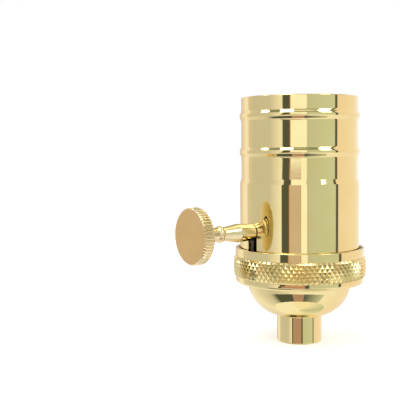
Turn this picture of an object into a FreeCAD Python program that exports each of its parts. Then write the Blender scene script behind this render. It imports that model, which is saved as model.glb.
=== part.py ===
import FreeCAD, Part
import math
import os
import re
import Sketcher

# Turn knob lamp socket, in millimetres. Z is up, the origin is the centre of the neck's lower end,
# and the knob points along -X.

Vector = FreeCAD.Vector

# Driving sizes
SIZES = [
    ("run_gap", 0.1, "running gap round what turns or slides"),
    ("seat_gap", 0.05, "gap between fitted pieces"),
    ("drop_gap", 0.15, "gap round what is dropped or driven in"),
    ("sheet", 0.4, "thickness of pressed contact strip"),
    ("plate", 0.6, "thickness of a terminal plate"),
    ("small_edge", 0.3, "chamfer on the shell's rim and the shaft's end"),
    ("neck_r", 6.6, "outside of the cap's neck"),
    ("nipple_r", 4.6, "threaded hole for a 1/8 pipe nipple, minor radius"),
    ("neck_edge", 0.4, "chamfer at the neck's lower end"),
    ("dome_stand", 0.35, "how far the dome's widest part stands beyond the moulded body"),
    ("dome_arc_r", 10.95, "radius of the dome's section"),
    ("dome_rise", 1.0, "dome's upright side above the ring's underside"),
    ("cap_wall", 1.15, "wall of the dome"),
    ("flange_tall", 1.5, "thickness of the cap's flange"),
    ("flange_step", 0.3, "how far the flange stays inside the ring's thread"),
    ("ring_low", 17.6, "underside of the coupling ring"),
    ("ring_floor", 1.45, "thickness of the ring's floor"),
    ("ring_corner", 1.0, "rounding of the ring's lower corner"),
    ("band_wall", 1.35, "ring's plain band, outside the shell's foot"),
    ("lip_wall", 1.45, "ring's lip above the knurl, outside the shell's foot"),
    ("knurl_wall", 2.1, "knurl's points, outside the shell's foot"),
    ("band_tall", 2.05, "height of the plain band under the knurl"),
    ("knurl_tall", 6.15, "height of the knurl"),
    ("lip_tall", 2.25, "height of the lip above the knurl"),
    ("knurl_deep", 0.5, "depth of the knurl"),
    ("knurl_barrel", 0.18, "how much the knurl's ends drop below its middle"),
    ("knurl_count", 80, "knurl diamonds round the ring"),
    ("knurl_rows", 5, "half diamonds up the knurl"),
    ("lip_deep", 1.8, "depth of the recess inside the lip"),
    ("lip_gap", 0.48, "gap between lip and shell"),
    ("shell_wall", 0.6, "wall of the shell above its step"),
    ("step_out", 0.45, "how far the shell is wider below its step"),
    ("step_up", 13.6, "lower end of the step above the knob's axis"),
    ("step_tall", 1.4, "height of the step"),
    ("bead_up", 9.0, "lower bead above the step's lower end"),
    ("bead_apart", 10.4, "upper bead above the lower bead"),
    ("bead_half", 1.4, "half the height of a bead"),
    ("bead_rise", 0.5, "how far a bead stands out"),
    ("rim_up", 5.4, "shell's rim above the upper bead"),
    ("slot_room", 0.55, "room beside the shaft in the key slot"),
    ("liner_room", 0.5, "room between moulded body and liner"),
    ("liner_wall", 0.8, "wall of the fibre liner"),
    ("liner_lift", 0.3, "liner's lower end above the shell's"),
    ("liner_drop", 1.2, "liner's upper end below the rim"),
    ("lamp_room", 1.25, "moulded body beyond the lamp shell"),
    ("head_room", 1.4, "moulded body beyond the wire screws' heads"),
    ("key_rise", 12.8, "knob's axis above the body's foot"),
    ("well_room", 2.6, "room under the drum in the switch well"),
    ("well_roof", 3.6, "joint between base and block above the drum"),
    ("end_room", 0.8, "room at the ends of the rotor"),
    ("side_room", 1.1, "room beside the drum for a switch blade"),
    ("flat_deep", 3.5, "depth of the side flats"),
    ("flat_wall", 2.15, "wall between a body screw's shank and the side flat, or more"),
    ("side_up", 2.2, "lower end of the side flat above the body's foot"),
    ("block_tall", 5.6, "thickness of the contact block"),
    ("screw_wall", 2.4, "body screws' middle beyond the well's wall"),
    ("body_screw_r", 1.25, "shank of a body screw"),
    ("screw_head_r", 2.1, "head of a body screw"),
    ("screw_head_tall", 1.3, "height of that head"),
    ("nut_flat", 2.25, "half the width over the flats of a body nut"),
    ("nut_tall", 1.8, "thickness of a body nut"),
    ("nut_lift", 0.3, "nut's underside above the base's"),
    ("plate_half", 4.0, "half the width of a terminal plate"),
    ("plate_up", 0.6, "lower end of a terminal plate above the flat's"),
    ("wire_up", 3.9, "wire screw above the plate's lower end"),
    ("wire_screw_r", 1.5, "shank of a wire screw"),
    ("wire_head_r", 3.2, "head of a wire screw"),
    ("wire_head_tall", 1.5, "height of that head"),
    ("wire_shank", 2.0, "shank of a wire screw beyond the plate's outside"),
    ("lamp_r", 13.25, "lamp thread, inside"),
    ("lamp_pitch", 3.63, "pitch of the lamp thread"),
    ("ridge_deep", 0.8, "how far the thread's ridge stands inwards"),
    ("ridge_foot", 0.4, "half the ridge's foot, as a share of the pitch"),
    ("ridge_crest", 0.11, "half the ridge's crest, as a share of the pitch"),
    ("collar_tall", 1.6, "plain collar above the thread"),
    ("collar_out", 0.5, "how far the collar flares beyond the thread"),
    ("mouth_deep", 3.0, "upper end of the screw shell below the rim"),
    ("cup_tall", 5.0, "height of the foot cup"),
    ("cup_room", 0.6, "foot cup's wall beyond the body screws' heads"),
    ("cup_hole_r", 5.8, "hole in the foot cup"),
    ("tongue_fold", 4.6, "inside of the centre contact's fold, from the axis"),
    ("tongue_tip", 1.2, "half the flat tip of the centre contact"),
    ("tongue_up", 4.0, "top of the centre contact above the block"),
    ("blade_down", 3.0, "lower end of the switch blades below the knob's axis"),
    ("blade_half", 2.2, "half the width of a switch blade"),
    ("blade_root", 2.5, "height of the hot blade's wide root"),
    ("arm_in", 1.9, "inner edge of the hot terminal's arm"),
    ("driver_half", 0.35, "half the width of a driver slot"),
    ("driver_deep", 0.7, "depth of a driver slot"),
    ("drum_r", 4.4, "rotor drum"),
    ("drum_half", 2.6, "half the length of the drum"),
    ("cam_half", 3.1, "half the width over the cam's flats"),
    ("cam_r", 3.95, "radius over the cam's corners"),
    ("cam_long", 2.6, "length of the cam"),
    ("clip_half", 1.5, "half the width of the contact clip"),
    ("clip_mouth", 8.5, "half the opening of the clip at twice the drum's radius"),
    ("spring_half", 0.9, "half the width of the click spring"),
    ("spring_crown", 1.8, "half the flat crown of the click spring"),
    ("spring_foot", 1.2, "length of each foot of the click spring"),
    ("shaft_r", 1.5, "round part of the shaft"),
    ("drive_half", 1.03, "half the width over the shaft's square"),
    ("tail_r", 1.0, "shaft's tail"),
    ("tail_long", 1.6, "tail in the well's far wall"),
    ("shaft_hold", 1.7, "shaft's outer end beyond the stem's swelling"),
    ("stem_gap", 0.4, "stem's inner end outside the shell"),
    ("stem_end_r", 1.9, "stem at its inner end"),
    ("swell_run", 3.3, "inner slope of the stem"),
    ("swell_long", 1.6, "length of the stem's swelling"),
    ("swell_r", 2.7, "stem at its swelling"),
    ("taper_run", 4.55, "outer slope of the stem"),
    ("groove_run", 1.5, "stem's bead beyond its groove"),
    ("stem_neck_r", 1.95, "stem at its groove and neck"),
    ("stem_bead_r", 2.35, "stem at its bead"),
    ("stem_bead_half", 0.85, "half the length of the bead"),
    ("neck_run", 7.1, "knob disc's back beyond the bead"),
    ("disc_thick", 2.5, "thickness of the knob disc"),
    ("disc_r", 7.85, "knob disc"),
    ("disc_edge", 0.35, "chamfer on the disc"),
    ("flute_count", 52, "flutes on the knob's rim"),
    ("flute_r", 0.35, "radius of a flute"),
    ("flute_out", 0.06, "flute's centre outside the disc"),
]

# Sizes and places that follow from the driving ones
FOLLOWING = {
    # heights of the cap, the ring and the shell
    "dome_top": "ring_low + dome_rise",
    "flange_low": "ring_low + ring_floor + seat_gap",
    "flange_top": "flange_low + flange_tall",
    "knurl_low": "ring_low + band_tall",
    "knurl_top": "knurl_low + knurl_tall",
    "ring_top": "knurl_top + lip_tall",
    "key_axis": "flange_top + key_rise",
    "shell_step": "key_axis + step_up",
    "low_bead": "shell_step + bead_up",
    "high_bead": "low_bead + bead_apart",
    "shell_top": "high_bead + rim_up",
    # radii, from the lamp and the terminals outwards
    "lamp_body_r": "lamp_r + sheet + lamp_room",
    "base_r": "max(lamp_body_r; head_top + head_room)",
    "liner_r": "base_r + liner_room + liner_wall",
    "shell_bore_r": "liner_r + drop_gap",
    "shell_mid_r": "shell_bore_r + shell_wall",
    "shell_low_r": "shell_mid_r + step_out",
    "ring_band_r": "shell_low_r + band_wall",
    "ring_lip_r": "shell_low_r + lip_wall",
    "knurl_r": "shell_low_r + knurl_wall",
    "channel_r": "knurl_r - knurl_deep - knurl_barrel - knurl_deep",
    "dome_r": "base_r + dome_stand",
    "dome_centre": "dome_r - dome_arc_r",
    "flange_r": "shell_low_r - flange_step",
    "neck_top": "dome_top - sqrt(dome_arc_r^2 - (neck_r - dome_centre)^2)",
    "nipple_top": "dome_top - sqrt((dome_arc_r - cap_wall)^2 - (nipple_r - dome_centre)^2)",
    "bead_arc_r": "(bead_half^2 + bead_rise^2) / (2 * bead_rise)",
    "slot_half": "shaft_r + slot_room",
    # moulded body and its screws
    "well_floor": "key_axis - drum_r - well_room",
    "base_top": "key_axis + drum_r + well_roof",
    "block_top": "base_top + block_tall",
    "well_x": "rotor_out + end_room",
    "well_y": "drum_r + run_gap + side_room",
    "screw_y": "well_y + screw_wall",
    "side_flat": "max(lamp_body_r - flat_deep; screw_y + body_screw_r + flat_wall)",
    "side_low": "flange_top + side_up",
    "plate_low": "side_low + plate_up",
    "wire_screw_z": "plate_low + wire_up",
    "head_low": "side_flat + plate",
    "head_top": "head_low + wire_head_tall",
    "tab_end": "screw_y - screw_head_r",
    # screw shell and contacts
    "cup_r": "screw_y + screw_head_r + cup_room",
    "thread_low": "block_top + cup_tall",
    "thread_top": "shell_top - mouth_deep",
    "collar_low": "thread_top - collar_tall",
    "ridge_up": "thread_low + lamp_pitch / 2",
    "tongue_top": "block_top + tongue_up",
    "blade_low": "key_axis - blade_down",
    "blade_in": "drum_r + run_gap",
    "leg_out": "blade_in + sheet",
    # switch
    "rotor_out": "drum_half + cam_long",
    "cam_side": "sqrt(cam_r^2 - cam_half^2)",
    "drive_hole": "drive_half + seat_gap",
    "spring_top": "key_axis - cam_half - run_gap",
    "spring_end": "well_y - drop_gap",
    # knob, along its own axis
    "stem_end": "shell_low_r + stem_gap",
    "swell_in": "stem_end + swell_run",
    "swell_out": "swell_in + swell_long",
    "shaft_end": "swell_out + shaft_hold",
    "groove_at": "swell_out + taper_run",
    "stem_bead": "groove_at + groove_run",
    "stem_bead_rise": "stem_bead_r - stem_neck_r",
    "stem_bead_arc_r": "(stem_bead_half^2 + stem_bead_rise^2) / (2 * stem_bead_rise)",
    "disc_back": "stem_bead + neck_run",
    "disc_face": "disc_back + disc_thick",
}

doc = FreeCAD.newDocument("TurnKnobSocket")
sheet = doc.addObject("Spreadsheet::Sheet", "Sizes")
for row, (alias, value, note) in enumerate(SIZES, start=1):
    sheet.set("A%d" % row, note)
    sheet.set("B%d" % row, str(value))
    sheet.setAlias("B%d" % row, alias)
doc.recompute()
DRIVING = {alias for alias, value, note in SIZES}
subparts = []


def bound(text):
    """Give the expression with each driving size pointing at the sheet and each following size
    spelled out."""
    def spell_out(word):
        name = word.group()
        if name in FOLLOWING:
            return "(%s)" % bound(FOLLOWING[name])
        return "Sizes." + name if name in DRIVING else name

    return re.sub(r"[a-z_][a-z_0-9]*", spell_out, text)


def size(text):
    """Give the number that an expression of sizes comes to now."""
    return float(sheet.evalExpression(bound(text)))


def new_body(label):
    """Start a sub-part as a body."""
    body = doc.addObject("PartDesign::Body", label)
    body.Label = label
    subparts.append(body)
    return body


def origin_item(body, role):
    """Find one of a body's own planes or axes."""
    return [item for item in body.Origin.OriginFeatures if item.Role == role][0]


def new_sketch(body, name, role, offset=None):
    """Start a sketch on one of the body's planes, moved along its normal by offset."""
    sketch = body.newObject("Sketcher::SketchObject", name)
    sketch.AttachmentSupport = [(origin_item(body, role), "")]
    sketch.MapMode = "FlatFace"
    if offset:
        sketch.setExpression("AttachmentOffset.Base.z", bound(offset))
    return sketch


def pin_point(sketch, edge, end, across, up):
    """Hold an edge's point at its place, given as two expressions."""
    for kind, text in (("DistanceX", across), ("DistanceY", up)):
        number = sketch.addConstraint(Sketcher.Constraint(kind, -1, 1, edge, end, size(text)))
        sketch.setExpression("Constraints[%d]" % number, bound(text))


def outline(sketch, points):
    """Draw a closed outline. A point is (across, up), or (across, up, radius) where an arc of that
    radius leads to the next point: it bends left of the way there, or right if the radius has a minus."""
    places = [Vector(size(point[0]), size(point[1]), 0) for point in points]
    first = sketch.GeometryCount
    count = len(points)
    for number, point in enumerate(points):
        start = places[number]
        stop = places[(number + 1) % count]
        if len(point) == 2:
            sketch.addGeometry(Part.LineSegment(start, stop), False)
            continue
        radius = size(point[2])
        side = -1 if radius < 0 else 1
        chord = stop - start
        half = chord.Length / 2
        rise = math.sqrt(max(radius * radius - half * half, 0))
        left = Vector(-chord.y, chord.x, 0).normalize()
        centre = (start + stop) * 0.5 + left * (side * rise)
        turn = [math.atan2(place.y - centre.y, place.x - centre.x) for place in (start, stop)]
        if side < 0:
            turn.reverse()
        circle = Part.Circle(centre, Vector(0, 0, 1), abs(radius))
        sketch.addGeometry(Part.ArcOfCircle(circle, turn[0], turn[1]), False)

    def ends(number):
        point = points[number]
        backward = len(point) == 3 and size(point[2]) < 0
        return (2, 1) if backward else (1, 2)

    for number, point in enumerate(points):
        following = (number + 1) % count
        sketch.addConstraint(Sketcher.Constraint(
            "Coincident", first + number, ends(number)[1], first + following, ends(following)[0]))
        pin_point(sketch, first + number, ends(number)[0], point[0], point[1])
        if len(point) == 3:
            text = point[2].lstrip("-")
            number_held = sketch.addConstraint(Sketcher.Constraint("Radius", first + number, size(text)))
            sketch.setExpression("Constraints[%d]" % number_held, bound(text))


def rectangle(sketch, low_x, low_y, high_x, high_y):
    """Draw a closed rectangle between two corners."""
    outline(sketch, [(low_x, low_y), (high_x, low_y), (high_x, high_y), (low_x, high_y)])


def circle(sketch, across, up, radius):
    """Draw a circle."""
    place = Vector(size(across), size(up), 0)
    edge = sketch.addGeometry(Part.Circle(place, Vector(0, 0, 1), size(radius)), False)
    pin_point(sketch, edge, 3, across, up)
    number = sketch.addConstraint(Sketcher.Constraint("Radius", edge, size(radius)))
    sketch.setExpression("Constraints[%d]" % number, bound(radius))


def revolve(body, sketch, axis):
    """Turn a sketch once round its own vertical or horizontal axis."""
    feature = body.newObject("PartDesign::Revolution", sketch.Name + "_turned")
    feature.Profile = sketch
    feature.ReferenceAxis = (sketch, [axis])
    feature.Angle = 360
    doc.recompute()
    return feature


def pad(body, sketch, length, both_ways=False):
    """Add a sketch's outline, along its normal or half each way."""
    feature = body.newObject("PartDesign::Pad", sketch.Name + "_pad")
    feature.Profile = sketch
    feature.setExpression("Length", bound(length))
    if both_ways:
        feature.SideType = "Symmetric"
    doc.recompute()
    return feature


def pocket(body, sketch, length, with_normal=True, both_ways=False):
    """Cut a sketch's outline out of the body, with the sketch's normal or against it."""
    before = body.Shape.Volume
    feature = body.newObject("PartDesign::Pocket", sketch.Name + "_cut")
    feature.Profile = sketch
    feature.setExpression("Length", bound(length))
    feature.Reversed = with_normal
    if both_ways:
        feature.SideType = "Symmetric"
    doc.recompute()
    if not feature.Shape.Volume < before:
        raise ValueError(feature.Name + " cuts nothing")
    return feature


def wind(body, sketch, pitch, height):
    """Wind a sketch's outline up round its own vertical axis, as a right-hand thread."""
    feature = body.newObject("PartDesign::AdditiveHelix", sketch.Name + "_wound")
    feature.Profile = sketch
    feature.ReferenceAxis = (sketch, ["V_Axis"])
    feature.Mode = "pitch-height-angle"
    feature.setExpression("Pitch", bound(pitch))
    feature.setExpression("Height", bound(height))
    doc.recompute()
    return feature


def pattern(body, feature, role, count):
    """Repeat a feature round one of the body's axes."""
    ring = body.newObject("PartDesign::PolarPattern", feature.Name + "_ring")
    ring.Originals = [feature]
    ring.Axis = (origin_item(body, role), [""])
    ring.Angle = 360
    ring.setExpression("Occurrences", bound(count))
    body.Tip = ring
    doc.recompute()
    return ring


# Cap: neck, dome and flange turned from one bar, with the nipple's hole and the space for the wires
cap = new_body("cap")
cap_section = new_sketch(cap, "cap_section", "XZ_Plane")
outline(cap_section, [
    ("nipple_r", "0"),
    ("neck_r - neck_edge", "0"),
    ("neck_r", "neck_edge"),
    ("neck_r", "neck_top", "dome_arc_r"),
    ("dome_r", "dome_top"),
    ("dome_r", "flange_low"),
    ("flange_r", "flange_low"),
    ("flange_r", "flange_top"),
    ("dome_r - cap_wall", "flange_top"),
    ("dome_r - cap_wall", "dome_top", "-(dome_arc_r - cap_wall)"),
    ("nipple_r", "nipple_top"),
])
revolve(cap, cap_section, "V_Axis")

# Coupling ring: the blank is turned, and the knurl stands in a channel round it
ring_blank = doc.addObject("PartDesign::Body", "ring_blank")
ring_section = new_sketch(ring_blank, "ring_section", "XZ_Plane")
outline(ring_section, [
    ("dome_r + run_gap", "ring_low"),
    ("ring_band_r - ring_corner", "ring_low", "ring_corner"),
    ("ring_band_r", "ring_low + ring_corner"),
    ("ring_band_r", "knurl_low"),
    ("channel_r", "knurl_low"),
    ("channel_r", "knurl_top"),
    ("ring_lip_r", "knurl_top"),
    ("ring_lip_r", "ring_top"),
    ("shell_low_r + lip_gap", "ring_top"),
    ("shell_low_r + lip_gap", "ring_top - lip_deep"),
    ("shell_low_r + seat_gap", "ring_top - lip_deep"),
    ("shell_low_r + seat_gap", "ring_low + ring_floor"),
    ("dome_r + run_gap", "ring_low + ring_floor"),
])
revolve(ring_blank, ring_section, "V_Axis")


def knurled_band():
    """Build the band of four-sided points. Points and hollows take turns on a grid round the band,
    each point slopes down to the four hollows beside it, and both ends run out to an even edge."""
    steps = 2 * int(size("knurl_count"))
    rows = int(size("knurl_rows"))
    low = size("knurl_low")
    tall = size("knurl_tall")
    deep = size("knurl_deep")
    inner = size("channel_r") - deep / 2

    def grid_point(step, row):
        off_middle = 2 * row / rows - 1
        radius = size("knurl_r") - size("knurl_barrel") * off_middle * off_middle
        if row in (0, rows):
            radius -= deep / 2
        elif (step + row) % 2 == 0:
            radius -= deep
        turn = 2 * math.pi * step / steps
        return Vector(radius * math.cos(turn), radius * math.sin(turn), low + tall * row / rows)

    table = [[grid_point(step, row) for step in range(steps)] for row in range(rows + 1)]
    faces = []

    def triangle(a, b, c):
        faces.append(Part.Face(Part.makePolygon([a, b, c, a])))

    for row in range(rows):
        for step in range(steps):
            following = (step + 1) % steps
            a, b = table[row][step], table[row][following]
            c, d = table[row + 1][following], table[row + 1][step]
            if (step + row) % 2 == 0:
                triangle(a, b, c)
                triangle(a, c, d)
            else:
                triangle(a, b, d)
                triangle(b, c, d)
    for row, height in ((0, low), (rows, low + tall)):
        outside = Part.makePolygon(table[row] + [table[row][0]])
        inside = Part.Wire(Part.makeCircle(inner, Vector(0, 0, height)))
        inside.reverse()
        faces.append(Part.Face([outside, inside]))
    faces[-2].reverse()
    faces.append(Part.makeCylinder(inner, tall, Vector(0, 0, low)).Faces[0])
    faces[-1].reverse()
    skin = Part.makeShell(faces)
    skin.sewShape()
    return Part.Solid(skin)


knurl = doc.addObject("Part::Feature", "knurl")
knurl.Shape = knurled_band()
coupling_ring = doc.addObject("Part::Fuse", "coupling_ring")
coupling_ring.Base = ring_blank
coupling_ring.Tool = knurl
coupling_ring.Label = "coupling_ring"
subparts.append(coupling_ring)


def key_slot(body):
    """Cut the slot that lets the tube come down over the shaft, open at its lower end."""
    sketch = new_sketch(body, body.Label + "_slot", "YZ_Plane")
    outline(sketch, [
        ("-slot_half", "ring_low"),
        ("slot_half", "ring_low"),
        ("slot_half", "key_axis", "slot_half"),
        ("0", "key_axis + slot_half", "slot_half"),
        ("-slot_half", "key_axis"),
    ])
    pocket(body, sketch, "2 * shell_low_r", with_normal=False)


# Shell: turned tube with a step and two beads
shell = new_body("shell")
shell_section = new_sketch(shell, "shell_section", "XZ_Plane")
outline(shell_section, [
    ("shell_bore_r", "flange_top"),
    ("shell_low_r", "flange_top"),
    ("shell_low_r", "shell_step"),
    ("shell_mid_r", "shell_step + step_tall"),
    ("shell_mid_r", "low_bead - bead_half", "bead_arc_r"),
    ("shell_mid_r", "low_bead + bead_half"),
    ("shell_mid_r", "high_bead - bead_half", "bead_arc_r"),
    ("shell_mid_r", "high_bead + bead_half"),
    ("shell_mid_r", "shell_top - small_edge"),
    ("shell_mid_r - small_edge", "shell_top"),
    ("shell_bore_r", "shell_top"),
])
revolve(shell, shell_section, "V_Axis")
key_slot(shell)

# Liner: fibre tube inside the shell
liner = new_body("shell_liner")
liner_section = new_sketch(liner, "liner_section", "XZ_Plane")
rectangle(liner_section, "liner_r - liner_wall", "flange_top + liner_lift",
          "liner_r", "shell_top - liner_drop")
revolve(liner, liner_section, "V_Axis")
key_slot(liner)

# Switch base: moulded body with the switch well, terminal flats and nut pockets
base = new_body("switch_base")
base_round = new_sketch(base, "base_round", "XY_Plane", "flange_top")
circle(base_round, "0", "0", "base_r")
pad(base, base_round, "base_top - flange_top")
well = new_sketch(base, "well", "XY_Plane", "base_top")
rectangle(well, "-well_x", "-well_y", "well_x", "well_y")
pocket(base, well, "base_top - well_floor", with_normal=False)
flats = new_sketch(base, "side_flats", "XY_Plane", "side_low")
rectangle(flats, "-base_r", "side_flat", "base_r", "base_r")
rectangle(flats, "-base_r", "-base_r", "base_r", "-side_flat")
pocket(base, flats, "base_top - side_low")
key_hole = new_sketch(base, "key_hole", "YZ_Plane")
circle(key_hole, "0", "key_axis", "shaft_r + run_gap")
pocket(base, key_hole, "base_r + run_gap", with_normal=False)
tail_hole = new_sketch(base, "tail_hole", "YZ_Plane")
circle(tail_hole, "0", "key_axis", "tail_r + run_gap")
pocket(base, tail_hole, "well_x + tail_long + run_gap")


def screw_holes(body, name, height, length, with_normal):
    """Cut the two clearance holes for the body screws."""
    sketch = new_sketch(body, name, "XY_Plane", height)
    circle(sketch, "0", "screw_y", "body_screw_r + seat_gap")
    circle(sketch, "0", "-screw_y", "body_screw_r + seat_gap")
    pocket(body, sketch, length, with_normal)


screw_holes(base, "base_holes", "base_top", "base_top - ring_low", False)


def hexagon(sketch, middle, flat):
    """Draw a hexagon with two flats across the given middle height."""
    corner = "((%s) * 2 / sqrt(3))" % flat
    outline(sketch, [
        (corner, middle),
        (corner + " / 2", "%s + %s" % (middle, flat)),
        ("-%s / 2" % corner, "%s + %s" % (middle, flat)),
        ("-" + corner, middle),
        ("-%s / 2" % corner, "%s - (%s)" % (middle, flat)),
        (corner + " / 2", "%s - (%s)" % (middle, flat)),
    ])


nut_pockets = new_sketch(base, "nut_pockets", "XY_Plane", "flange_top")
hexagon(nut_pockets, "screw_y", "nut_flat + seat_gap")
hexagon(nut_pockets, "-screw_y", "nut_flat + seat_gap")
pocket(base, nut_pockets, "nut_lift + nut_tall")
for name, start, with_normal in (("hot_recess", "-base_r", True), ("neutral_recess", "base_r", False)):
    recess = new_sketch(base, name, "XZ_Plane", start)
    circle(recess, "0", "wire_screw_z", "wire_screw_r + drop_gap")
    pocket(base, recess, "base_r - head_low + wire_shank + drop_gap", with_normal)

# Contact block: moulded disc on the base
block = new_body("contact_block")
block_round = new_sketch(block, "block_round", "XY_Plane", "base_top")
circle(block_round, "0", "0", "base_r")
pad(block, block_round, "block_top - base_top")
screw_holes(block, "block_holes", "base_top", "block_top - base_top", True)
strap_ways = new_sketch(block, "strap_ways", "XY_Plane", "base_top")
rectangle(strap_ways, "-plate_half - seat_gap", "-base_r",
          "plate_half + seat_gap", "seat_gap - tab_end")
rectangle(strap_ways, "arm_in - seat_gap", "blade_in - seat_gap",
          "plate_half + seat_gap", "base_r")
pocket(block, strap_ways, "plate")
leg_way = new_sketch(block, "leg_way", "XY_Plane", "base_top")
rectangle(leg_way, "-blade_half - seat_gap", "-leg_out - seat_gap",
          "blade_half + seat_gap", "seat_gap - blade_in")
pocket(block, leg_way, "block_top - base_top")

# Screw shell: pressed cup that takes the lamp's thread, on a narrower foot cup
screw_shell = new_body("screw_shell")
screw_shell_section = new_sketch(screw_shell, "screw_shell_section", "XZ_Plane")
outline(screw_shell_section, [
    ("cup_hole_r", "block_top"),
    ("cup_r + sheet", "block_top"),
    ("cup_r + sheet", "thread_low - sheet"),
    ("lamp_r + sheet", "thread_low - sheet"),
    ("lamp_r + sheet", "collar_low - collar_out"),
    ("lamp_r + collar_out + sheet", "collar_low"),
    ("lamp_r + collar_out + sheet", "thread_top"),
    ("lamp_r + collar_out", "thread_top"),
    ("lamp_r + collar_out", "collar_low"),
    ("lamp_r", "collar_low - collar_out"),
    ("lamp_r", "thread_low"),
    ("cup_r", "thread_low"),
    ("cup_r", "block_top + sheet"),
    ("cup_hole_r", "block_top + sheet"),
])
revolve(screw_shell, screw_shell_section, "V_Axis")
ridge = new_sketch(screw_shell, "lamp_ridge", "XZ_Plane")
outline(ridge, [
    ("lamp_r + sheet / 2", "ridge_up - ridge_foot * lamp_pitch"),
    ("lamp_r + sheet / 2", "ridge_up + ridge_foot * lamp_pitch"),
    ("lamp_r - ridge_deep", "ridge_up + ridge_crest * lamp_pitch"),
    ("lamp_r - ridge_deep", "ridge_up - ridge_crest * lamp_pitch"),
])
wind(screw_shell, ridge, "lamp_pitch", "collar_low - collar_out - thread_low - lamp_pitch")
screw_holes(screw_shell, "cup_holes", "block_top", "sheet", True)

# Centre contact: one bent strip, switch blade below and spring tongue above
centre = new_body("centre_contact")
centre_section = new_sketch(centre, "centre_section", "YZ_Plane")
outline(centre_section, [
    ("-leg_out", "blade_low"),
    ("-blade_in", "blade_low"),
    ("-blade_in", "block_top"),
    ("tongue_fold + sheet", "block_top"),
    ("tongue_fold + sheet", "block_top + sheet + sheet / 2"),
    ("tongue_tip", "tongue_top"),
    ("-tongue_tip", "tongue_top"),
    ("-tongue_tip", "tongue_top - sheet"),
    ("tongue_tip - sheet / 2", "tongue_top - sheet"),
    ("tongue_fold - sheet / 2", "block_top + sheet"),
    ("-leg_out", "block_top + sheet"),
])
pad(centre, centre_section, "2 * blade_half", both_ways=True)


def wire_screw_hole(body, name, start, with_normal):
    """Cut the hole that the wire screw is driven into."""
    sketch = new_sketch(body, name, "XZ_Plane", start)
    circle(sketch, "0", "wire_screw_z", "wire_screw_r + seat_gap")
    pocket(body, sketch, "base_r - side_flat", with_normal)


# Hot terminal: wire plate, arm over the base and feed blade in the well
hot = new_body("hot_terminal")
hot_plate = new_sketch(hot, "hot_plate", "XZ_Plane", "-head_low")
rectangle(hot_plate, "-plate_half", "plate_low", "plate_half", "base_top")
pad(hot, hot_plate, "plate")
hot_arm = new_sketch(hot, "hot_arm", "XY_Plane", "base_top")
rectangle(hot_arm, "arm_in", "blade_in", "plate_half", "head_low")
pad(hot, hot_arm, "plate")
hot_blade = new_sketch(hot, "hot_blade", "XZ_Plane", "-blade_in - plate")
outline(hot_blade, [
    ("-blade_half", "blade_low"),
    ("blade_half", "blade_low"),
    ("blade_half", "base_top - blade_root"),
    ("plate_half", "base_top - blade_root"),
    ("plate_half", "base_top + plate"),
    ("arm_in", "base_top + plate"),
    ("arm_in", "base_top - plate"),
    ("-blade_half", "base_top - plate"),
])
pad(hot, hot_blade, "plate")
wire_screw_hole(hot, "hot_hole", "-base_r", True)

# Neutral terminal: wire plate with a tab under the body screw
neutral = new_body("neutral_terminal")
neutral_plate = new_sketch(neutral, "neutral_plate", "XZ_Plane", "side_flat")
rectangle(neutral_plate, "-plate_half", "plate_low", "plate_half", "base_top + plate")
pad(neutral, neutral_plate, "plate")
neutral_tab = new_sketch(neutral, "neutral_tab", "XY_Plane", "base_top")
rectangle(neutral_tab, "-plate_half", "-head_low", "plate_half", "-tab_end")
pad(neutral, neutral_tab, "plate")
tab_hole = new_sketch(neutral, "tab_hole", "XY_Plane", "base_top")
circle(tab_hole, "0", "-screw_y", "body_screw_r + seat_gap")
pocket(neutral, tab_hole, "plate")
wire_screw_hole(neutral, "neutral_hole", "base_r", False)

# Wire screws: binding head with a driver slot, one on each side
for label, turn in (("hot_screw", 0), ("neutral_screw", 180)):
    screw = new_body(label)
    section = new_sketch(screw, label + "_section", "YZ_Plane")
    outline(section, [
        ("head_low - wire_shank", "0"),
        ("head_top", "0"),
        ("head_top", "wire_head_r - wire_head_tall / 2"),
        ("head_top - wire_head_tall / 2", "wire_head_r"),
        ("head_low", "wire_head_r"),
        ("head_low", "wire_screw_r"),
        ("head_low - wire_shank", "wire_screw_r"),
    ])
    revolve(screw, section, "H_Axis")
    driver = new_sketch(screw, label + "_driver", "XZ_Plane", "-head_top")
    rectangle(driver, "-wire_head_r", "-driver_half", "wire_head_r", "driver_half")
    pocket(screw, driver, "driver_deep", True)
    screw.Placement = FreeCAD.Placement(Vector(0, 0, 0), FreeCAD.Rotation(Vector(0, 0, 1), turn))
    screw.setExpression("Placement.Base.z", bound("wire_screw_z"))

# Body screws: two, clamping the screw shell's foot cup, the block and the base
body_screws = new_body("body_screws")
shanks = new_sketch(body_screws, "shanks", "XY_Plane", "flange_top + nut_lift")
circle(shanks, "0", "screw_y", "body_screw_r")
circle(shanks, "0", "-screw_y", "body_screw_r")
pad(body_screws, shanks, "block_top + sheet - nut_lift - flange_top")
heads = new_sketch(body_screws, "heads", "XY_Plane", "block_top + sheet")
circle(heads, "0", "screw_y", "screw_head_r")
circle(heads, "0", "-screw_y", "screw_head_r")
pad(body_screws, heads, "screw_head_tall")
drivers = new_sketch(body_screws, "drivers", "XY_Plane", "block_top + sheet + screw_head_tall")
rectangle(drivers, "-screw_head_r", "screw_y - driver_half", "screw_head_r", "screw_y + driver_half")
rectangle(drivers, "-screw_head_r", "-screw_y - driver_half", "screw_head_r", "driver_half - screw_y")
pocket(body_screws, drivers, "driver_deep", with_normal=False)

# Body nuts: two hexagon nuts in the base's foot
body_nuts = new_body("body_nuts")
nuts = new_sketch(body_nuts, "nuts", "XY_Plane", "flange_top + nut_lift")
for middle in ("screw_y", "-screw_y"):
    hexagon(nuts, middle, "nut_flat")
    circle(nuts, "0", middle, "body_screw_r + seat_gap")
pad(body_nuts, nuts, "nut_tall")

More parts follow.
